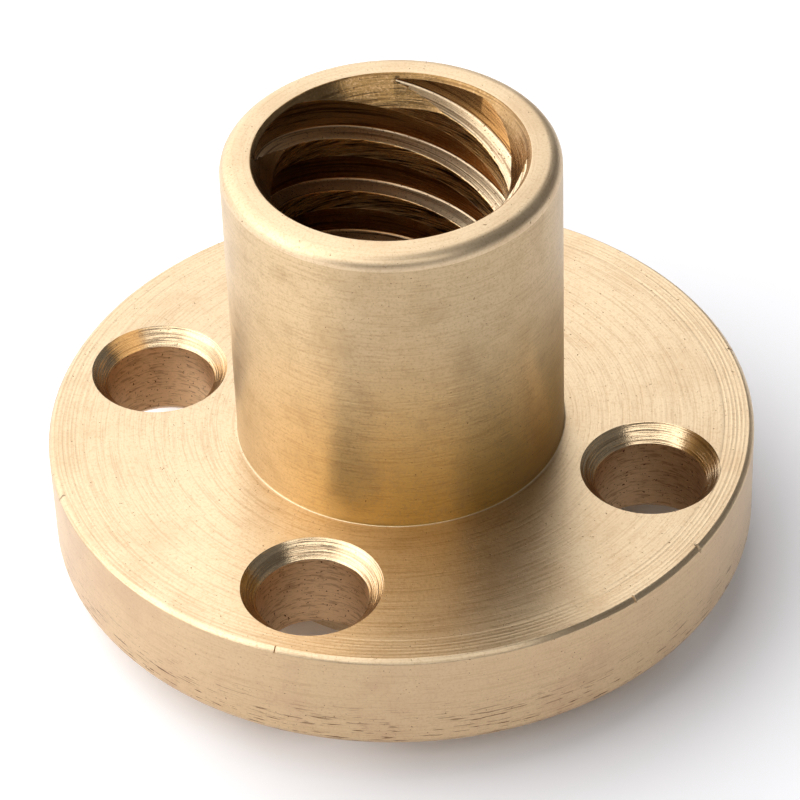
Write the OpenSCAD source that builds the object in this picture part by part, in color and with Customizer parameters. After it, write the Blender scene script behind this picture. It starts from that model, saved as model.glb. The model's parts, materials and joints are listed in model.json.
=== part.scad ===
// Flanged nut for a lead screw, turned in one piece from brass bar.
// A round flange carries a long hub above it and a short spigot below it.
// A four-start trapezoidal thread runs right through, and four countersunk
// holes in the flange take the screws that hold the nut.
// Millimetres. The nut stands on its spigot, with the thread along +Z.

/* [Flange] */
// Diameter of the flange
flange_d = 22; // [21:0.5:26]
// Thickness of the flange
flange_t = 3.5; // [2.5:0.25:6]
// Width of the small chamfer round the upper edge
flange_chamfer = 0.2; // [0.1:0.05:0.6]
// Radius of the soft lower edge
flange_soft_r = 0.35; // [0.1:0.05:0.8]

/* [Hub] */
// Diameter of the hub
hub_d = 10.2; // [9.8:0.2:11.2]
// Height of the hub above the flange
hub_h = 10.2; // [6:0.2:20]
// Radius of the rounded rim at the top of the hub
hub_rim_r = 0.3; // [0.1:0.05:0.4]

/* [Spigot] */
// Diameter of the locating spigot under the flange
spigot_d = 10.2; // [9.8:0.2:11.2]
// Height of the spigot
spigot_h = 1.5; // [1:0.25:4]
// Width of the chamfer round the foot of the spigot
spigot_chamfer = 0.3; // [0.1:0.05:0.4]
// Radius left by the turning tool where hub and spigot meet the flange
corner_r = 0.15; // [0.1:0.05:0.3]

/* [Thread] */
// Outer diameter of the lead screw that the nut runs on
screw_d = 8; // [7:0.25:8.5]
// Distance from one thread ridge to the next along the axis
thread_pitch = 2; // [1.5:0.25:3]
// Number of threads that run side by side
thread_starts = 4; // [2:1:6]
// Height of the thread ridges
thread_height = 0.5; // [0.3:0.05:0.7]
// Width of the flat crest of a ridge, along the axis
crest_w = 0.68; // [0.4:0.04:0.9]
// Lean of each ridge side from square
flank_angle = 15; // [5:1:20]
// Gap between the screw's outside and the bottom of the grooves
screw_gap = 0.05; // [0.02:0.01:0.15]
// Turn of the thread about the axis, which sets where its ridges end
thread_turn = 39; // [0:1:89]

/* [Mouths] */
// How far each mouth opens past the bottom of the grooves
mouth_lip = 0.1; // [0.05:0.05:0.2]
// Depth of the cone that leads into the thread at each end
mouth_depth = 0.9; // [0.5:0.1:1.5]

/* [Screw holes] */
// Number of screw holes in the flange
hole_count = 4; // [3:1:6]
// Diameter of each hole, a medium fit for an M3 screw
hole_d = 3.4; // [2.4:0.2:3.6]
// Diameter of the circle through the hole centres
hole_circle_d = 16.2; // [15.4:0.2:16.4]
// Diameter of each countersink where it meets the flange's face
sink_d = 4.3; // [3.8:0.1:4.5]
// Depth of each countersink
sink_depth = 0.5; // [0.3:0.05:1]

/* [Hidden] */
$fn = 96;

// Length by which a cut runs past the face that it opens
past = 0.5;
// Steps in the quarter circle of a rounded edge
round_steps = 4;
// Largest turn of the thread between two of its sections, in degrees
turn_step = 8;
// Turn of the line on which the bore's round wall closes. It runs between two
// ridges where it meets the cone at each end
seam_turn = 78;

flange_r = flange_d / 2;
hub_r = hub_d / 2;
spigot_r = spigot_d / 2;
flange_top = spigot_h + flange_t;
total_h = flange_top + hub_h;

lead = thread_pitch * thread_starts;
groove_r = screw_d / 2 + screw_gap;
crest_r = groove_r - thread_height;
mouth_r = groove_r + mouth_lip;

// Points of a quarter circle round a centre, from one angle towards the next
function quarter(centre, r, from, to) = [
    for (i = [0 : round_steps])
        let (a = from + (to - from) * i / round_steps)
            centre + r * [cos(a), sin(a)]
];

// Half the turned body, from the axis outwards and from the foot upwards
function body_profile() = concat(
    [[0, 0], [spigot_r - spigot_chamfer, 0], [spigot_r, spigot_chamfer]],
    quarter([spigot_r + corner_r, spigot_h - corner_r], corner_r, 180, 90),
    quarter([flange_r - flange_soft_r, spigot_h + flange_soft_r], flange_soft_r, -90, 0),
    [[flange_r, flange_top - flange_chamfer], [flange_r - flange_chamfer, flange_top]],
    quarter([hub_r + corner_r, flange_top + corner_r], corner_r, 270, 180),
    quarter([hub_r - hub_rim_r, total_h - hub_rim_r], hub_rim_r, 0, 90),
    [[0, total_h]]
);

// Half the width of a ridge, as an angle round the axis, at a distance r from it
function ridge_half_angle(r) =
    (crest_w / 2 + (r - crest_r) * tan(flank_angle)) * 360 / lead;

// One groove of the thread, cut square to the axis: up one side from inside
// the bore, round the bottom of the groove and down the other side
function groove_section(middle) =
    let (
        half = 180 / thread_starts,
        inner_r = crest_r - thread_height / 2,
        inner_a = half - ridge_half_angle(inner_r),
        outer_a = half - ridge_half_angle(groove_r),
        steps = ceil(2 * outer_a / turn_step)
    )
    concat(
        [inner_r * [cos(middle - inner_a), sin(middle - inner_a)]],
        [
            for (i = [0 : steps])
                let (a = middle - outer_a + 2 * outer_a * i / steps)
                    groove_r * [cos(a), sin(a)]
        ],
        [inner_r * [cos(middle + inner_a), sin(middle + inner_a)]]
    );

// All the grooves at once, as one section that climbs and turns along the bore
module thread_cut() {
    run = total_h + 2 * past;
    turn = 360 * run / lead;
    section = [
        for (s = [0 : thread_starts - 1])
            each groove_section(s * 360 / thread_starts)
    ];
    translate([0, 0, -past])
        rotate([0, 0, thread_turn - 360 * past / lead])
            linear_extrude(height = run, twist = -turn, slices = ceil(turn / turn_step), segments = 1)
                polygon(section);
}

// The bore that the ridges end at, with a cone at each end
module bore_cut() {
    slope = (mouth_r - crest_r) / mouth_depth;
    rotate([0, 0, seam_turn])
        translate([0, 0, -past])
            cylinder(r = crest_r, h = total_h + 2 * past);
    for (end = [0, 1])
        translate([0, 0, end * total_h])
            mirror([0, 0, end])
                translate([0, 0, -past])
                    cylinder(r1 = mouth_r + slope * past, r2 = crest_r, h = mouth_depth + past);
}

// A countersunk hole, with its centre at the flange's upper face
module screw_hole() {
    slope = (sink_d - hole_d) / 2 / sink_depth;
    translate([0, 0, -flange_t - past])
        cylinder(d = hole_d, h = flange_t + 2 * past);
    translate([0, 0, -sink_depth])
        cylinder(r1 = hole_d / 2, r2 = sink_d / 2 + slope * past, h = sink_depth + past);
}

module nut() {
    color("#c9a46b")
        difference() {
            rotate_extrude()
                polygon(body_profile());
            bore_cut();
            thread_cut();
            for (i = [0 : hole_count - 1])
                rotate([0, 0, i * 360 / hole_count])
                    translate([hole_circle_d / 2, 0, flange_top])
                        screw_hole();
        }
}

nut();
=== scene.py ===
"""Flanged nut for a lead screw, turned from brass bar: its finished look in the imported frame."""

import json
import math
import random
from collections import namedtuple

import bmesh
import bpy
from mathutils import Matrix, Vector


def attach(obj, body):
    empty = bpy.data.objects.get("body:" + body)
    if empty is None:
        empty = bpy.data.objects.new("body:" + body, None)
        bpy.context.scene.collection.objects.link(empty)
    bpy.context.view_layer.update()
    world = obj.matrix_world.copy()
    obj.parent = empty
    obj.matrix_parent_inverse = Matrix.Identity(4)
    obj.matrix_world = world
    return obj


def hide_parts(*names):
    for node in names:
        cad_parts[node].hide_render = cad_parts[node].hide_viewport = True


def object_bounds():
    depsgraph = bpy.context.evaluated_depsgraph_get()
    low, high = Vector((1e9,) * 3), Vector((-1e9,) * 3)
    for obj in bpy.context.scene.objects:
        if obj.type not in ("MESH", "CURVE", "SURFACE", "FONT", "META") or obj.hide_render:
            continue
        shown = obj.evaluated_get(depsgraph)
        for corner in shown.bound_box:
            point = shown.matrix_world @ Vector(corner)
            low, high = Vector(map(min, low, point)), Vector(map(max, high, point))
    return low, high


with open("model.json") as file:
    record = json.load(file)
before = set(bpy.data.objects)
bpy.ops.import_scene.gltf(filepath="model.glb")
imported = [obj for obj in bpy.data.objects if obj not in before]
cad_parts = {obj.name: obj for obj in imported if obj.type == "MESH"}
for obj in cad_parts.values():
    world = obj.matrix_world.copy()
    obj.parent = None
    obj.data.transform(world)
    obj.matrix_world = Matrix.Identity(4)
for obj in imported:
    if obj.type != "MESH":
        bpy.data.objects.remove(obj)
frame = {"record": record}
cad_low, cad_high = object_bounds()

MM = 0.001
mounts = {mount["name"]: mount for mount in frame["record"]["mounts"]}

# Turned body. What the frame states comes from the frame, and the small edges are given here.
flange_r = cad_high.x
flange_under = mounts["flange_seat"]["pos_m"][2]
flange_top = mounts["flange_face"]["pos_m"][2]
nut_top = cad_high.z
hub_r = mounts["hub"]["dims"]["r_mm"] * MM
spigot_r = mounts["spigot"]["dims"]["r_mm"] * MM
flange_chamfer = 0.13 * MM
flange_soft_r = 0.35 * MM
hub_rim_r = 0.42 * MM
spigot_chamfer = 0.3 * MM
corner_r = 0.15 * MM
base_r = 0.05 * MM
edge_break = 0.03 * MM
# Each flat runs true to this far from its ends, so that its shine shows no facets
hold = 0.05 * MM
# Shallow rings that the tool left where its cut across the flange began
ring_count = 6
ring_spacing = 0.13 * MM
ring_half_width = 0.045 * MM
ring_depth = 0.014 * MM
# Distance from the chamfer to the first ring, in ring spacings, and the share of the full depth
# that the shallowest ring has
first_ring = 0.75
ring_least = 0.4
ring_seed = 4

# Thread
crest_r = mounts["screw_thread"]["dims"]["r_mm"] * MM
groove_r = 4.05 * MM
mouth_r = 4.15 * MM
mouth_depth = 0.9 * MM
thread_pitch = 2.0 * MM
thread_starts = 4
thread_lead = thread_pitch * thread_starts
crest_w = 0.68 * MM
flank_lean = math.radians(15)
thread_turn = math.radians(39)
crest_corner_r = 0.04 * MM
root_corner_r = 0.08 * MM
# The bore is turned this much inside the crests, and the tap then cuts them to size
drill_clear = 0.05 * MM

# Screw holes
hole_r = mounts["screw_circle"]["dims"]["hole_r_mm"] * MM
hole_circle_r = mounts["screw_circle"]["dims"]["pcd_mm"] / 2 * MM
hole_count = mounts["screw_circle"]["dims"]["count"]
sink_r = 2.15 * MM
sink_depth = 0.5 * MM
exit_chamfer = 0.5 * MM
drill_past = 0.2 * MM

# Knocks: azimuth in degrees, width in mm, and how far the middle of the knock is sunk in mm
edge_knocks = [
    (343.9, 0.10, 0.02),
    (328.3, 0.07, 0.01),
    (269.3, 0.04, 0.01),
    (217.0, 0.06, 0.01),
    (121.0, 0.10, 0.02),
    (35.0, 0.08, 0.02),
]
rim_knocks = [(342.0, 0.04, 0.06), (96.0, 0.05, 0.03)]
knock_length = 1.2 * MM

# Modelling
turn_steps = 192
# How far the tap runs past each end of the nut
past = 1.0 * MM
same_place = 0.002 * MM
same_speck = 0.0002 * MM
# Edges that turn by less than this are shaded smooth
smooth_angle = math.radians(25)


def deselect_everything():
    bpy.ops.object.select_all(action="DESELECT")


def pick(piece, kind, wanted):
    """Selects the vertices or the faces that pass the test, and nothing else.

    The test gets the place of a vertex, or the middle of a face and its normal.
    """
    mesh = bmesh.from_edit_mesh(piece.data)
    for part in [*mesh.verts, *mesh.edges, *mesh.faces]:
        part.select = False
    for part in getattr(mesh, kind):
        if kind == "verts":
            part.select = wanted(part.co)
        else:
            part.select = wanted(part.calc_center_median(), part.normal)
    mesh.select_flush_mode()
    bmesh.update_edit_mesh(piece.data)


def draw_outline(name, points, closed):
    """A wire drawn point by point in the plane of X and Z. It stays in edit mode."""
    deselect_everything()
    bpy.ops.mesh.primitive_plane_add(size=MM)
    piece = bpy.context.object
    piece.name = piece.data.name = name
    bpy.ops.object.mode_set(mode="EDIT")
    bpy.ops.mesh.select_mode(type="VERT")
    bpy.ops.mesh.merge(type="CENTER")
    place = Vector((0, 0, 0))
    for number, (x, z) in enumerate(points):
        step = Vector((x, 0, z)) - place
        if number == 0:
            bpy.ops.transform.translate(value=step)
        else:
            bpy.ops.mesh.extrude_region_move(TRANSFORM_OT_translate={"value": step})
        place += step
    if closed:
        ends = [Vector((x, 0, z)) for x, z in (points[0], points[-1])]
        pick(piece, "verts", lambda co: min((co - end).length for end in ends) < same_place)
        bpy.ops.mesh.edge_face_add()
    return piece


def round_corner(piece, x, z, radius, segments):
    """Turns one corner of an outline into an arc."""
    corner = Vector((x, 0, z))
    pick(piece, "verts", lambda co: (co - corner).length < same_place)
    bpy.ops.mesh.bevel(offset=radius, segments=segments, affect="VERTICES", profile=0.5)


def spin_outline():
    """Spins the outline in edit mode into a closed body round the Z axis, and leaves edit mode."""
    bpy.ops.mesh.select_all(action="SELECT")
    bpy.ops.mesh.spin(steps=turn_steps, angle=math.tau, center=(0, 0, 0), axis=(0, 0, 1))
    bpy.ops.mesh.select_all(action="SELECT")
    bpy.ops.mesh.remove_doubles(threshold=same_place / 10)
    bpy.ops.mesh.normals_make_consistent(inside=False)
    bpy.ops.object.mode_set(mode="OBJECT")


def apply_modifier(piece, kind, **settings):
    deselect_everything()
    piece.select_set(True)
    bpy.context.view_layer.objects.active = piece
    modifier = piece.modifiers.new(kind.lower(), kind)
    for name, value in settings.items():
        setattr(modifier, name, value)
    bpy.ops.object.modifier_apply(modifier=modifier.name)


def remove(piece):
    bpy.data.objects.remove(piece, do_unlink=True)


def turn_body():
    """The bar after turning and boring: flange, hub, spigot, and a bore with a cone at each end."""
    bored_r = crest_r - drill_clear
    cone_depth = mouth_depth * (mouth_r - bored_r) / (mouth_r - crest_r)
    chance = random.Random(ring_seed)
    rings = []
    for number in range(ring_count):
        middle = flange_r - flange_chamfer - ring_spacing * (number + first_ring)
        rings += [
            (middle + ring_half_width, flange_top),
            (middle, flange_top - ring_depth * chance.uniform(ring_least, 1)),
            (middle - ring_half_width, flange_top),
        ]
    body = draw_outline(
        "nut_turned",
        [
            (mouth_r, 0),
            (spigot_r - spigot_chamfer, 0),
            (spigot_r, spigot_chamfer),
            (spigot_r, flange_under - corner_r - hold),
            (spigot_r, flange_under),
            (spigot_r + corner_r + hold, flange_under),
            (flange_r - flange_soft_r - hold, flange_under),
            (flange_r, flange_under),
            (flange_r, flange_under + flange_soft_r + hold),
            (flange_r, flange_top - flange_chamfer - edge_break - hold),
            (flange_r, flange_top - flange_chamfer),
            (flange_r - flange_chamfer, flange_top),
            *rings,
            (rings[-1][0] - hold, flange_top),
            (hub_r + base_r + hold, flange_top),
            (hub_r, flange_top),
            (hub_r, flange_top + base_r + hold),
            (hub_r, nut_top - hub_rim_r - hold),
            (hub_r, nut_top),
            (mouth_r + edge_break + hold, nut_top),
            (mouth_r, nut_top),
            (bored_r, nut_top - cone_depth),
            (bored_r, cone_depth),
        ],
        closed=True,
    )
    round_corner(body, spigot_r, flange_under, corner_r, segments=3)
    round_corner(body, flange_r, flange_under, flange_soft_r, segments=8)
    round_corner(body, hub_r, flange_top, base_r, segments=4)
    round_corner(body, hub_r, nut_top, hub_rim_r, segments=8)
    for x, z in (
        (flange_r, flange_top - flange_chamfer),
        (flange_r - flange_chamfer, flange_top),
        (mouth_r, nut_top),
        (mouth_r, 0),
    ):
        round_corner(body, x, z, edge_break, segments=2)
    spin_outline()
    return body


def thread_tap():
    """A tap that leaves the nut's thread: a tooth's outline repeated and screwed round the axis."""
    flank_run = (groove_r - crest_r) * math.tan(flank_lean)
    groove_middle = (-thread_turn % (math.tau / thread_starts)) * thread_lead / math.tau
    low = groove_middle - thread_pitch / 2
    while low > -past - thread_lead:
        low -= thread_pitch
    corners = [
        (crest_r, low + crest_w / 2),
        (groove_r, low + crest_w / 2 + flank_run),
        (groove_r, low + thread_pitch - crest_w / 2 - flank_run),
        (crest_r, low + thread_pitch - crest_w / 2),
    ]
    tap = draw_outline(
        "thread_tap", [(crest_r, low), *corners, (crest_r, low + thread_pitch)], closed=False
    )
    for x, z in corners:
        radius = crest_corner_r if x == crest_r else root_corner_r
        round_corner(tap, x, z, radius, segments=3)
    bpy.ops.object.mode_set(mode="OBJECT")
    teeth = math.ceil((nut_top + past - low) / thread_pitch) + 1
    apply_modifier(
        tap,
        "ARRAY",
        count=teeth,
        use_relative_offset=False,
        use_constant_offset=True,
        constant_offset_displace=(0, 0, thread_pitch),
        use_merge_vertices=True,
        merge_threshold=same_place,
    )
    apply_modifier(
        tap,
        "SCREW",
        axis="Z",
        angle=math.tau,
        screw_offset=thread_lead,
        steps=turn_steps,
        render_steps=turn_steps,
    )
    bpy.ops.object.mode_set(mode="EDIT")
    bpy.ops.mesh.select_all(action="SELECT")
    bpy.ops.mesh.remove_doubles(threshold=same_place)
    for height, side in ((-past, "clear_inner"), (nut_top + past, "clear_outer")):
        bpy.ops.mesh.select_all(action="SELECT")
        bpy.ops.mesh.bisect(
            plane_co=(0, 0, height), plane_no=(0, 0, 1), use_fill=True, **{side: True}
        )
    bpy.ops.mesh.select_all(action="SELECT")
    bpy.ops.mesh.normals_make_consistent(inside=False)
    bpy.ops.object.mode_set(mode="OBJECT")
    return tap


def countersink_drill():
    """A stepped drill on the Z axis: a hole with a countersink above and a chamfer at its exit."""
    slope = (sink_r - hole_r) / sink_depth
    # The cone widens as it rises, so it stops just over the flange and stays clear of the hub.
    top = flange_top + drill_past
    foot = flange_under - drill_past
    drill = draw_outline(
        "countersink_drill",
        [
            (0, foot),
            (hole_r + exit_chamfer + drill_past, foot),
            (hole_r, flange_under + exit_chamfer),
            (hole_r, flange_top - sink_depth),
            (sink_r, flange_top),
            (sink_r + slope * drill_past, top),
            (0, top),
        ],
        closed=False,
    )
    spin_outline()
    return drill


def cut(piece, tool):
    """Cuts the tool's shape out of the piece, and joins the specks of edge that the cut leaves."""
    apply_modifier(
        piece,
        "BOOLEAN",
        operation="DIFFERENCE",
        solver="EXACT",
        object=tool,
        material_mode="TRANSFER",
    )
    bpy.ops.object.mode_set(mode="EDIT")
    bpy.ops.mesh.select_all(action="SELECT")
    bpy.ops.mesh.remove_doubles(threshold=same_speck)
    bpy.ops.mesh.dissolve_degenerate(threshold=same_speck)
    bpy.ops.object.mode_set(mode="OBJECT")


def knock_tools():
    """Bars laid edge down across the flange's upper edge and the hub's rim. Each leaves a nick."""
    half = flange_chamfer / 2
    rim_drop = hub_rim_r * (1 - math.cos(math.radians(45)))
    edges = [(knock, flange_r - half, flange_top - half) for knock in edge_knocks]
    edges += [(knock, hub_r - rim_drop, nut_top - rim_drop) for knock in rim_knocks]
    bars = []
    for (azimuth, width, sunk), radius, height in edges:
        deselect_everything()
        bpy.ops.mesh.primitive_cube_add(size=1)
        bar = bpy.context.object
        bar.matrix_world = (
            Matrix.Rotation(math.radians(azimuth), 4, "Z")
            @ Matrix.Translation((radius, 0, height))
            @ Matrix.Rotation(math.radians(45), 4, "Y")
            @ Matrix.Translation((0, 0, -sunk * MM))
            @ Matrix.Rotation(math.radians(45), 4, "X")
            @ Matrix.Diagonal((knock_length, width * MM, width * MM, 1))
        )
        bars.append(bar)
    deselect_everything()
    for bar in bars:
        bar.select_set(True)
    bpy.context.view_layer.objects.active = bars[0]
    bpy.ops.object.join()
    joined = bpy.context.object
    joined.name = joined.data.name = "knock_tools"
    return joined


def make_nut():
    """The nut: turned, tapped, drilled, and knocked a little in use."""
    nut = turn_body()
    tap = thread_tap()
    cut(nut, tap)
    remove(tap)
    drill = countersink_drill()
    for number in range(hole_count):
        turn = math.tau * number / hole_count
        drill.matrix_world = Matrix.Rotation(turn, 4, "Z") @ Matrix.Translation(
            (hole_circle_r, 0, 0)
        )
        cut(nut, drill)
    remove(drill)
    knocks = knock_tools()
    cut(nut, knocks)
    remove(knocks)
    deselect_everything()
    nut.select_set(True)
    bpy.context.view_layer.objects.active = nut
    bpy.ops.object.shade_smooth_by_angle(angle=smooth_angle)
    apply_modifier(nut, "WEIGHTED_NORMAL", mode="FACE_AREA", weight=50, keep_sharp=True)
    return nut


nut = make_nut()


# ---------------------------------------------------------------- materials

# A place in the metal: in mm from the nut's own origin, then from the axis of the cut as
# distance in mm, direction round it and height in mm
Places = namedtuple("Places", "point radius direction height")

# Cosines of the angle from the middle of the painted shade at which it begins and is whole
painted_shade_edge = (0.00, 0.85)
# A crystal grain of real brass is about 0.03 mm. It is drawn coarser so that it shows.
grain_spacing = 0.08
grain_height = 0.0030
# How much rougher the tops of the tool marks are than their bottoms
mark_roughness = 0.16
# Depth of the torn metal in mm, and the spans of noise over which a pit and a dash begin
torn_depth = 0.006
pit_edge, dash_edge = 0.06, 0.04


def linear(hex_colour):
    """An sRGB hex colour as linear RGBA."""
    values = [int(hex_colour[i : i + 2], 16) / 255 for i in (1, 3, 5)]
    return (*(v / 12.92 if v <= 0.04045 else ((v + 0.055) / 1.055) ** 2.4 for v in values), 1.0)


def add_node(tree, kind, inputs=None, **settings):
    """A node with its settings. An input takes a value, an output or a node's first output."""
    node = tree.nodes.new(kind)
    for name, value in settings.items():
        setattr(node, name, value)
    for name, value in (inputs or {}).items():
        if isinstance(value, bpy.types.Node):
            value = value.outputs[0]
        if isinstance(value, bpy.types.NodeSocket):
            tree.links.new(value, node.inputs[name])
        else:
            node.inputs[name].default_value = value
    return node


def length_and_direction(tree, across):
    length = add_node(tree, "ShaderNodeVectorMath", {0: across}, operation="LENGTH")
    direction = add_node(tree, "ShaderNodeVectorMath", {0: across}, operation="NORMALIZE")
    return length.outputs["Value"], direction


def lathe_places(tree):
    """Places measured from the axis of the nut."""
    point = add_node(tree, "ShaderNodeTexCoord").outputs["Object"]
    point = add_node(tree, "ShaderNodeVectorMath", {0: point, "Scale": 1 / MM}, operation="SCALE")
    across = add_node(tree, "ShaderNodeVectorMath", {0: point, 1: (1, 1, 0)}, operation="MULTIPLY")
    radius, direction = length_and_direction(tree, across)
    height = add_node(tree, "ShaderNodeSeparateXYZ", {0: point}).outputs["Z"]
    return Places(point, radius, direction, height)


def hole_places(tree):
    """Places measured from the axis of the nearest screw hole."""
    point, radius, _, height = lathe_places(tree)
    parts = add_node(tree, "ShaderNodeSeparateXYZ", {0: point}).outputs
    turn = add_node(tree, "ShaderNodeMath", {0: parts["Y"], 1: parts["X"]}, operation="ARCTAN2")
    half_step = math.pi / hole_count
    turn = add_node(
        tree, "ShaderNodeMath", {0: turn, 1: half_step, 2: -half_step}, operation="WRAP"
    )
    cosine = add_node(tree, "ShaderNodeMath", {0: turn}, operation="COSINE")
    sine = add_node(tree, "ShaderNodeMath", {0: turn}, operation="SINE")
    out = add_node(tree, "ShaderNodeMath", {0: cosine, 1: radius}, operation="MULTIPLY")
    out = add_node(tree, "ShaderNodeMath", {0: out, 1: hole_circle_r / MM}, operation="SUBTRACT")
    side = add_node(tree, "ShaderNodeMath", {0: sine, 1: radius}, operation="MULTIPLY")
    across = add_node(tree, "ShaderNodeCombineXYZ", {"X": out, "Y": side})
    return Places(point, *length_and_direction(tree, across), height)


def drawn_out_noise(tree, places, spacing, arc, climb=0.0):
    """Noise drawn out round the axis: marks spacing mm apart, each about arc radians long.

    With climb, the marks are helices that rise by that many mm in a radian, joined at -Y.
    """
    direction, height = places.direction, places.height
    around = add_node(
        tree, "ShaderNodeVectorMath", {0: direction, "Scale": 1 / arc}, operation="SCALE"
    )
    if climb:
        parts = add_node(tree, "ShaderNodeSeparateXYZ", {0: direction}).outputs
        back = add_node(tree, "ShaderNodeMath", {0: parts["X"], 1: -1.0}, operation="MULTIPLY")
        turn = add_node(tree, "ShaderNodeMath", {0: back, 1: parts["Y"]}, operation="ARCTAN2")
        rise = add_node(tree, "ShaderNodeMath", {0: turn, 1: -climb}, operation="MULTIPLY")
        height = add_node(tree, "ShaderNodeMath", {0: height, 1: rise}, operation="ADD")
    level = add_node(tree, "ShaderNodeMath", {0: height, 1: 1 / spacing}, operation="MULTIPLY")
    level = add_node(tree, "ShaderNodeCombineXYZ", {"Z": level})
    vector = add_node(tree, "ShaderNodeVectorMath", {0: around, 1: level}, operation="ADD")
    outward = add_node(
        tree, "ShaderNodeMath", {0: places.radius, 1: 1 / spacing}, operation="MULTIPLY"
    )
    return add_node(
        tree,
        "ShaderNodeTexNoise",
        {"Vector": vector, "W": outward, "Scale": 1.0, "Detail": 2.0, "Roughness": 0.6},
        noise_dimensions="4D",
    )


def towards(azimuth, elevation):
    """The direction with this azimuth from +X and this elevation, both in degrees."""
    flat = math.cos(math.radians(elevation))
    return Vector(
        (
            math.cos(math.radians(azimuth)) * flat,
            math.sin(math.radians(azimuth)) * flat,
            math.sin(math.radians(elevation)),
        )
    )


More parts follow.
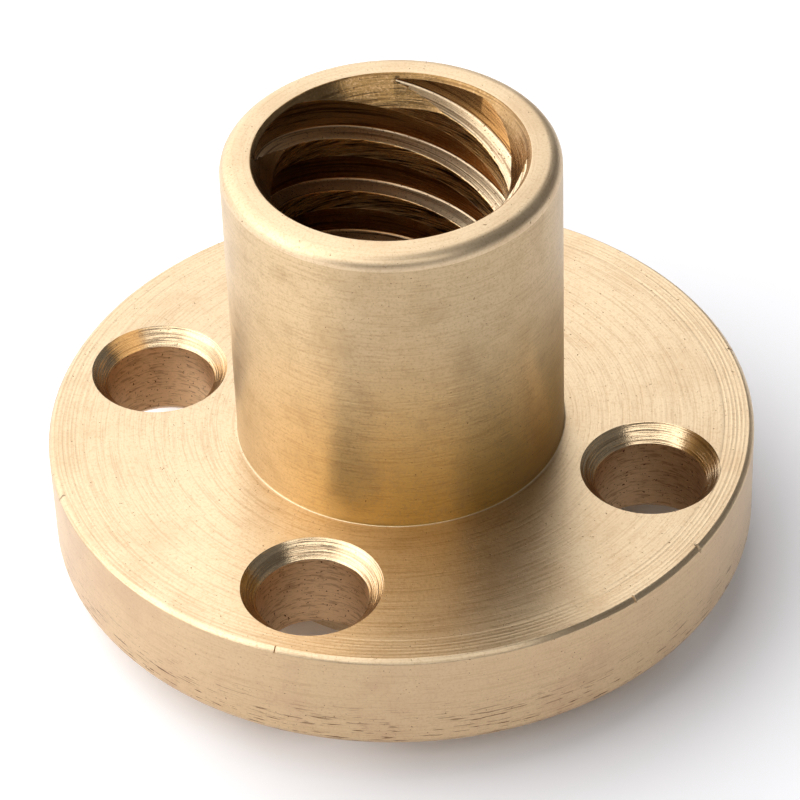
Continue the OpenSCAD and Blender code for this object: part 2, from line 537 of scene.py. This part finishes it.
def brass(
    name,
    places_of=lathe_places,
    colour="#DEC6A3",
    roughness=0.34,
    anisotropy=0.45,
    fine=(0.08, 0.25, 0.0014),
    coarse=(0.30, 0.50, 0.0020),
    climb=0.0,
    stain=("#C3A27C", 2.2, 0.4),
    oil=0.15,
    oil_colour="#8A6239",
    painted_shade=None,
    dashes=None,
    pits=(0.075, 0.73),
    torn_colour="#7A5836",
):
    """Machined brass: marks and torn metal in relief, with stains, oil and painted shade in its
    colour.

    fine, coarse: tool marks, as spacing in mm, length in radians and height in mm
    climb: how far the marks rise along a thread, in mm in a radian
    stain: colour, size of the clouds in mm and strength
    oil: strength of the old oil in the marks
    painted_shade: the painted shade's colour, azimuth of its middle in degrees or None for all
    round, and the heights in mm where it is whole and where it has gone
    dashes: spacing in mm, length in radians, level of the noise above which the metal is torn,
        and the heights in mm where they are whole and where they have gone
    pits: size in mm and level of the noise above which the metal is torn
    """
    material = bpy.data.materials.new(name)
    material.use_nodes = True
    tree = material.node_tree
    tree.nodes.clear()
    places = places_of(tree)

    # The tool's fine marks over the slower wave of its feed carry the streaks in the shine.
    fine_spacing, fine_arc, fine_height = fine
    coarse_spacing, coarse_arc, coarse_height = coarse
    fine_noise = drawn_out_noise(tree, places, fine_spacing, fine_arc, climb)
    coarse_noise = drawn_out_noise(tree, places, coarse_spacing, coarse_arc, climb)
    # The crystal grain makes the shine sparkle.
    grain = add_node(
        tree,
        "ShaderNodeTexNoise",
        {"Vector": places.point, "Scale": 1 / grain_spacing, "Detail": 2.0, "Roughness": 0.6},
    )
    height = add_node(tree, "ShaderNodeMath", {0: grain, 1: grain_height}, operation="MULTIPLY")
    for noise, scale in ((fine_noise, fine_height), (coarse_noise, coarse_height)):
        height = add_node(
            tree, "ShaderNodeMath", {0: noise, 1: scale, 2: height}, operation="MULTIPLY_ADD"
        )

    layers = []
    if painted_shade:
        # Painted shade: a warmer, deeper colour that stands in for shade and golden reflections, on
        # one side and towards one end.
        painted_shade_colour, azimuth, whole, gone = painted_shade
        amount = add_node(
            tree,
            "ShaderNodeMapRange",
            {
                "Value": places.height,
                "From Min": whole,
                "From Max": gone,
                "To Min": 1.0,
                "To Max": 0.0,
            },
            interpolation_type="SMOOTHSTEP",
        )
        if azimuth is not None:
            facing = add_node(
                tree,
                "ShaderNodeVectorMath",
                {0: places.direction, 1: towards(azimuth, 0)},
                operation="DOT_PRODUCT",
            ).outputs["Value"]
            sector = add_node(
                tree,
                "ShaderNodeMapRange",
                {"Value": facing, "From Min": painted_shade_edge[0], "From Max": painted_shade_edge[1]},
                interpolation_type="SMOOTHSTEP",
            )
            amount = add_node(tree, "ShaderNodeMath", {0: amount, 1: sector}, operation="MULTIPLY")
        layers.append((amount, painted_shade_colour))
    # The grain also darkens the colour a little here and there, so the metal never looks painted.
    stain_colour, cloud_size, cloud_strength = stain
    mottled = add_node(
        tree,
        "ShaderNodeMapRange",
        {"Value": grain, "From Min": 0.45, "From Max": 0.70, "To Max": 0.40},
        interpolation_type="SMOOTHSTEP",
    )
    layers.append((mottled, stain_colour))
    # Handling stains: duller, browner clouds that keep the metal from looking new.
    clouds = add_node(
        tree,
        "ShaderNodeTexNoise",
        {"Vector": places.point, "Scale": 1 / cloud_size, "Detail": 5.0, "Roughness": 0.6},
    )
    clouds = add_node(
        tree,
        "ShaderNodeMapRange",
        {"Value": clouds, "From Min": 0.45, "From Max": 0.75, "To Max": cloud_strength},
        interpolation_type="SMOOTHSTEP",
    )
    layers.append((clouds, stain_colour))
    # Old cutting oil lies in the deeper marks and draws them as thin browner lines.
    in_marks = add_node(
        tree,
        "ShaderNodeMapRange",
        {"Value": fine_noise, "From Min": 0.52, "From Max": 0.36, "To Max": oil},
        interpolation_type="SMOOTHSTEP",
    )
    layers.append((in_marks, oil_colour))
    # Pits and torn dashes of free-cutting metal: small dark hollows.
    pit_size, pit_level = pits
    torn = add_node(
        tree,
        "ShaderNodeTexNoise",
        {"Vector": places.point, "Scale": 1 / pit_size, "Detail": 1.0, "Roughness": 0.6},
    )
    torn = add_node(
        tree,
        "ShaderNodeMapRange",
        {"Value": torn, "From Min": pit_level, "From Max": pit_level + pit_edge},
        interpolation_type="SMOOTHSTEP",
    )
    if dashes:
        spacing, arc, level, whole, gone = dashes
        dash = add_node(
            tree,
            "ShaderNodeMapRange",
            {
                "Value": drawn_out_noise(tree, places, spacing, arc),
                "From Min": level,
                "From Max": level + dash_edge,
            },
            interpolation_type="SMOOTHSTEP",
        )
        low = add_node(
            tree,
            "ShaderNodeMapRange",
            {
                "Value": places.height,
                "From Min": whole,
                "From Max": gone,
                "To Min": 1.0,
                "To Max": 0.0,
            },
            interpolation_type="SMOOTHSTEP",
        )
        dash = add_node(tree, "ShaderNodeMath", {0: dash, 1: low}, operation="MULTIPLY")
        torn = add_node(tree, "ShaderNodeMath", {0: torn, 1: dash}, operation="MAXIMUM")
    layers.append((torn, torn_colour))
    height = add_node(
        tree, "ShaderNodeMath", {0: torn, 1: -torn_depth, 2: height}, operation="MULTIPLY_ADD"
    )

    # Each layer of colour lies over the ones before it.
    shade = linear(colour)
    for amount, over in layers:
        shade = add_node(
            tree, "ShaderNodeMix", {0: amount, 6: shade, 7: linear(over)}, data_type="RGBA"
        ).outputs[2]
    rough = add_node(
        tree,
        "ShaderNodeMath",
        {0: fine_noise, 1: mark_roughness, 2: roughness - mark_roughness / 2},
        operation="MULTIPLY_ADD",
    )
    bump = add_node(tree, "ShaderNodeBump", {"Strength": 1.0, "Distance": MM, "Height": height})
    shader = add_node(
        tree,
        "ShaderNodeBsdfPrincipled",
        {
            "Base Color": shade,
            "Metallic": 1.0,
            "Roughness": rough,
            "Anisotropic": anisotropy,
            "Anisotropic Rotation": 0.25,
            "Normal": bump,
        },
    )
    add_node(tree, "ShaderNodeOutputMaterial", {"Surface": shader.outputs["BSDF"]})
    return material


def dress(piece, material, wanted):
    """Gives a material to the faces that pass the test."""
    piece.data.materials.append(material)
    bpy.context.view_layer.objects.active = piece
    bpy.ops.object.mode_set(mode="EDIT")
    bpy.ops.mesh.select_mode(type="FACE")
    pick(piece, "faces", wanted)
    piece.active_material_index = len(piece.data.materials) - 1
    bpy.ops.object.material_slot_assign()
    bpy.ops.object.mode_set(mode="OBJECT")


def from_axis(co):
    return math.hypot(co.x, co.y)


def from_hole(co):
    """Distance from the axis of the nearest screw hole."""
    step = math.tau / hole_count
    turn = math.atan2(co.y, co.x)
    turn -= round(turn / step) * step
    radius = from_axis(co)
    return math.hypot(radius * math.cos(turn) - hole_circle_r, radius * math.sin(turn))


def past_cone(co):
    """How far a place lies outside the cone of the nearer mouth. Deeper in, it is always clear."""
    depth = min(co.z, nut_top - co.z)
    if depth > mouth_depth:
        return mouth_depth
    return from_axis(co) - (mouth_r - (mouth_r - crest_r) * depth / mouth_depth)


tiny = 0.02 * MM
thread_climb = thread_lead / MM / math.tau
# The scratches on the crests climb less steeply than the thread
scratch_climb = thread_climb * 0.45
# A face of the thread whose normal rises or falls by less than this is a groove's bottom
side_tilt = 0.3

# Each material with the test for its faces. A later one takes faces from those before it. The
# metal is free-cutting brass throughout, and the tool that made each face gives it its look.
# A finishing cut feeds 0.05 to 0.1 mm a turn, so the fine marks lie about that far apart.
# normal.z is 1 on a face that looks straight up and 0 on a wall.
zones = [
    # Faced flange and ends: fine rings spread the shine into a fan round the axis.
    (
        brass(
            "brass_faced_across",
            anisotropy=0.65,
            fine=(0.06, 0.25, 0.0060),
            coarse=(0.16, 0.4, 0.0040),
            oil=0.22,
        ),
        lambda co, normal: True,
    ),
    # Turned edge: duller than the face, with torn dark dashes along its lower part.
    (
        brass(
            "brass_turned_flange_edge",
            colour="#CDB28D",
            roughness=0.38,
            anisotropy=0.3,
            fine=(0.06, 0.12, 0.0050),
            stain=("#B9977A", 1.8, 0.45),
            oil=0.14,
            dashes=(0.055, 0.08, 0.60, 1.9, 3.6),
            torn_colour="#6A4A2E",
        ),
        lambda co, normal: from_axis(co) > flange_r - flange_soft_r - tiny
        and abs(normal.z) < 0.95
        and co.z < flange_top - flange_chamfer,
    ),
    # Turned hub: a long upright shine, and painted shade, golden and deeper towards its foot and on
    # its side at azimuth 320°, standing in for the shaded floor and the flange that it reflects.
    (
        brass(
            "brass_turned_hub",
            colour="#D0B791",
            roughness=0.38,
            anisotropy=0.7,
            fine=(0.06, 0.22, 0.0100),
            coarse=(0.28, 0.3, 0.004),
            stain=("#A98D66", 1.4, 0.45),
            painted_shade=("#CCA45C", 320, 5.0, 13.0),
            oil=0.2,
        ),
        lambda co, normal: abs(from_axis(co) - hub_r) < flange_soft_r and co.z > flange_top + tiny,
    ),
    # Rounded rim and the hub's narrow end face: a soft, plain shine with hardly a mark.
    (
        brass("brass_rounded_rim", roughness=0.40, fine=(0.08, 0.5, 0.0010)),
        lambda co, normal: from_axis(co) > mouth_r - tiny and co.z > nut_top - hub_rim_r - tiny,
    ),
    # Cones of the mouths: darker and glossier, with old oil in their rings.
    (
        brass(
            "brass_reamed_cone",
            colour="#94744A",
            roughness=0.24,
            fine=(0.06, 0.5, 0.0080),
            coarse=(0.16, 0.5, 0.008),
            oil=0.6,
            oil_colour="#5E4020",
            pits=(0.06, 0.68),
        ),
        lambda co, normal: from_axis(co) < mouth_r + tiny,
    ),
    # Sides of the thread: dark, oily streaks that follow the thread.
    (
        brass(
            "brass_tapped_flank",
            colour="#F0D8B4",
            roughness=0.32,
            fine=(0.055, 1.4, 0.0120),
            coarse=(0.16, 1.6, 0.010),
            climb=thread_climb,
            oil=0.75,
            oil_colour="#6A4622",
            pits=(0.06, 0.66),
        ),
        lambda co, normal: crest_r + tiny < from_axis(co) < groove_r + tiny
        and past_cone(co) > tiny
        and abs(normal.z) >= side_tilt,
    ),
    # Bottoms of the grooves: glossy, and deep brown from below the upper mouth: painted shade,
    # deeper in the bore where little light reaches.
    (
        brass(
            "brass_tapped_groove",
            colour="#E2BC84",
            roughness=0.24,
            fine=(0.08, 0.7, 0.0080),
            coarse=(0.25, 0.7, 0.010),
            climb=thread_climb,
            painted_shade=("#9A6530", None, 12.6, 14.4),
            oil=0.8,
            oil_colour="#6A4018",
        ),
        lambda co, normal: groove_r - 4 * tiny < from_axis(co) < groove_r + tiny
        and past_cone(co) > tiny / 4
        and abs(normal.z) < side_tilt,
    ),
    # Crests of the thread: bright, with dark scratches at a slant.
    (
        brass(
            "brass_tapped_crest",
            colour="#E8BE80",
            roughness=0.26,
            fine=(0.075, 0.35, 0.024),
            coarse=(0.3, 0.5, 0.010),
            climb=scratch_climb,
            oil=1.0,
            oil_colour="#4A2C10",
        ),
        lambda co, normal: from_axis(co) < crest_r + tiny,
    ),
    # Walls of the screw holes: matt and brown, with rough rings and pits.
    (
        brass(
            "brass_drilled",
            places_of=hole_places,
            colour="#D6B48C",
            roughness=0.45,
            fine=(0.06, 0.22, 0.016),
            coarse=(0.3, 0.6, 0.008),
            oil=0.45,
            oil_colour="#6E4A2C",
            anisotropy=0.0,
            pits=(0.09, 0.67),
            torn_colour="#4A3018",
        ),
        lambda co, normal: from_hole(co) < hole_r + exit_chamfer + tiny
        and flange_under - tiny < co.z < flange_top - sink_depth + tiny
        and normal.z > -0.9,
    ),
    # Countersinks: the glossiest faces, with rings round each hole.
    (
        brass(
            "brass_countersunk",
            places_of=hole_places,
            colour="#E4CAA4",
            roughness=0.20,
            fine=(0.06, 1.5, 0.018),
            coarse=(0.13, 1.5, 0.018),
            oil=0.45,
            oil_colour="#6E4A2C",
            anisotropy=0.0,
        ),
        lambda co, normal: hole_r + tiny < from_hole(co) < sink_r + tiny
        and flange_top - sink_depth < co.z < flange_top
        and 0.3 < normal.z < 0.98,
    ),
]
nut.data.materials.clear()
for material, wanted in zones:
    dress(nut, material, wanted)
nut.name = nut.data.name = "lead_screw_nut"
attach(nut, "root")
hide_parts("nut")

# ---------------------------------------------------------------- floor, light and camera

floor_size = 1.2
# Painted light on the floor: where along X the floor is at its palest and where that has faded, and
# by how much it is paler
paler_from, paler_to = -16 * MM, 4 * MM
painted_light_near_sheet, paler_far = 0.32, 0.05

# One broad white sheet to the left of the camera, in a dim room, with a brighter window in its
# front part. An edge is two cosines from the middle: where the light begins and is whole.
sheet_azimuth, sheet_elevation = 177.0, 27.0
sheet_edge = (0.30, 0.52)
sheet_strength, room_strength = 1.85, 0.16
window_azimuth, window_elevation = 212.0, 32.0
window_edge = (0.84, 0.96)
window_strength = 0.8

# A soft lamp above the camera, in metres and watts
softbox_azimuth, softbox_elevation = -66.0, 48.0
softbox_width, softbox_height = 0.5, 0.2
softbox_distance = 0.5
softbox_power = 0.55

camera_azimuth, camera_elevation = -69.54, 40.17
camera_roll = math.radians(-2.21)
camera_distance = 122.8 * MM
aim = Vector((0, 0, 5.69 * MM))


def lay_floor():
    """White paper. To the camera and in the metal's shine it is paler than its plain colour,
    most of all on the side of the light, where the extra paleness is painted light."""
    paper = bpy.data.materials.new("matt_white_paper")
    paper.use_nodes = True
    tree = paper.node_tree
    tree.nodes.clear()
    ray = add_node(tree, "ShaderNodeLightPath").outputs
    seen = add_node(
        tree,
        "ShaderNodeMath",
        {0: ray["Is Camera Ray"], 1: ray["Is Glossy Ray"]},
        operation="MAXIMUM",
    )
    place = add_node(tree, "ShaderNodeTexCoord").outputs["Object"]
    across = add_node(tree, "ShaderNodeSeparateXYZ", {0: place}).outputs["X"]
    # Painted light: towards the light the floor is made paler, to the camera and in the metal's
    # shine.
    lift = add_node(
        tree,
        "ShaderNodeMapRange",
        {
            "Value": across,
            "From Min": paler_from,
            "From Max": paler_to,
            "To Min": painted_light_near_sheet,
            "To Max": paler_far,
        },
        interpolation_type="SMOOTHSTEP",
    )
    lift = add_node(tree, "ShaderNodeMath", {0: lift, 1: seen}, operation="MULTIPLY")
    paler = add_node(
        tree,
        "ShaderNodeMix",
        {0: lift, 6: linear("#000000"), 7: linear("#FFFFFF")},
        data_type="RGBA",
    ).outputs[2]
    matt = add_node(tree, "ShaderNodeBsdfDiffuse", {"Color": linear("#F5F5F8")})
    extra = add_node(tree, "ShaderNodeBsdfDiffuse", {"Color": paler})
    both = add_node(tree, "ShaderNodeAddShader", {0: matt, 1: extra})
    add_node(tree, "ShaderNodeOutputMaterial", {"Surface": both})
    deselect_everything()
    bpy.ops.mesh.primitive_plane_add(size=floor_size)
    floor = bpy.context.object
    floor.name = "floor"
    floor.data.materials.append(paper)


def light_room():
    """The sheet, the window and the dim room, seen in the metal and lighting everything."""
    world = bpy.data.worlds.new("soft_room")
    bpy.context.scene.world = world
    world.use_nodes = True
    tree = world.node_tree
    tree.nodes.clear()
    sky = add_node(tree, "ShaderNodeTexCoord").outputs["Generated"]
    lights = []
    for middle, edge, outside, inside in (
        (towards(sheet_azimuth, sheet_elevation), sheet_edge, room_strength, sheet_strength),
        (towards(window_azimuth, window_elevation), window_edge, 0.0, window_strength),
    ):
        facing = add_node(
            tree, "ShaderNodeVectorMath", {0: sky, 1: middle}, operation="DOT_PRODUCT"
        ).outputs["Value"]
        light = add_node(
            tree,
            "ShaderNodeMapRange",
            {
                "Value": facing,
                "From Min": edge[0],
                "From Max": edge[1],
                "To Min": outside,
                "To Max": inside,
            },
            interpolation_type="SMOOTHSTEP",
        )
        lights.append(light)
    light = add_node(tree, "ShaderNodeMath", dict(enumerate(lights)), operation="ADD")
    room = add_node(
        tree, "ShaderNodeBackground", {"Color": linear("#FFFFFF"), "Strength": light}
    )
    add_node(tree, "ShaderNodeOutputWorld", {"Surface": room})


def hang_softbox():
    """The lamp that brings out the front edges."""
    lamp = bpy.data.lights.new("softbox_over_camera", "AREA")
    lamp.shape = "RECTANGLE"
    lamp.size = softbox_width
    lamp.size_y = softbox_height
    lamp.energy = softbox_power
    softbox = bpy.data.objects.new("softbox_over_camera", lamp)
    bpy.context.scene.collection.objects.link(softbox)
    from_nut = towards(softbox_azimuth, softbox_elevation)
    softbox.location = from_nut * softbox_distance
    softbox.rotation_euler = from_nut.to_track_quat("Z", "Y").to_euler()


def place_camera():
    towards_camera = towards(camera_azimuth, camera_elevation)
    lens = bpy.data.cameras.new("camera")
    lens.sensor_width = 36.0
    lens.lens = 177.67
    lens.clip_start = 0.005
    lens.clip_end = 10.0
    camera = bpy.data.objects.new("camera", lens)
    bpy.context.scene.collection.objects.link(camera)
    camera.location = aim + towards_camera * camera_distance
    upright = towards_camera.to_track_quat("Z", "Y").to_matrix().to_4x4()
    camera.rotation_euler = (upright @ Matrix.Rotation(camera_roll, 4, "Z")).to_euler()
    bpy.context.scene.camera = camera


lay_floor()
light_room()
hang_softbox()
place_camera()
bpy.context.scene.view_settings.view_transform = "Standard"
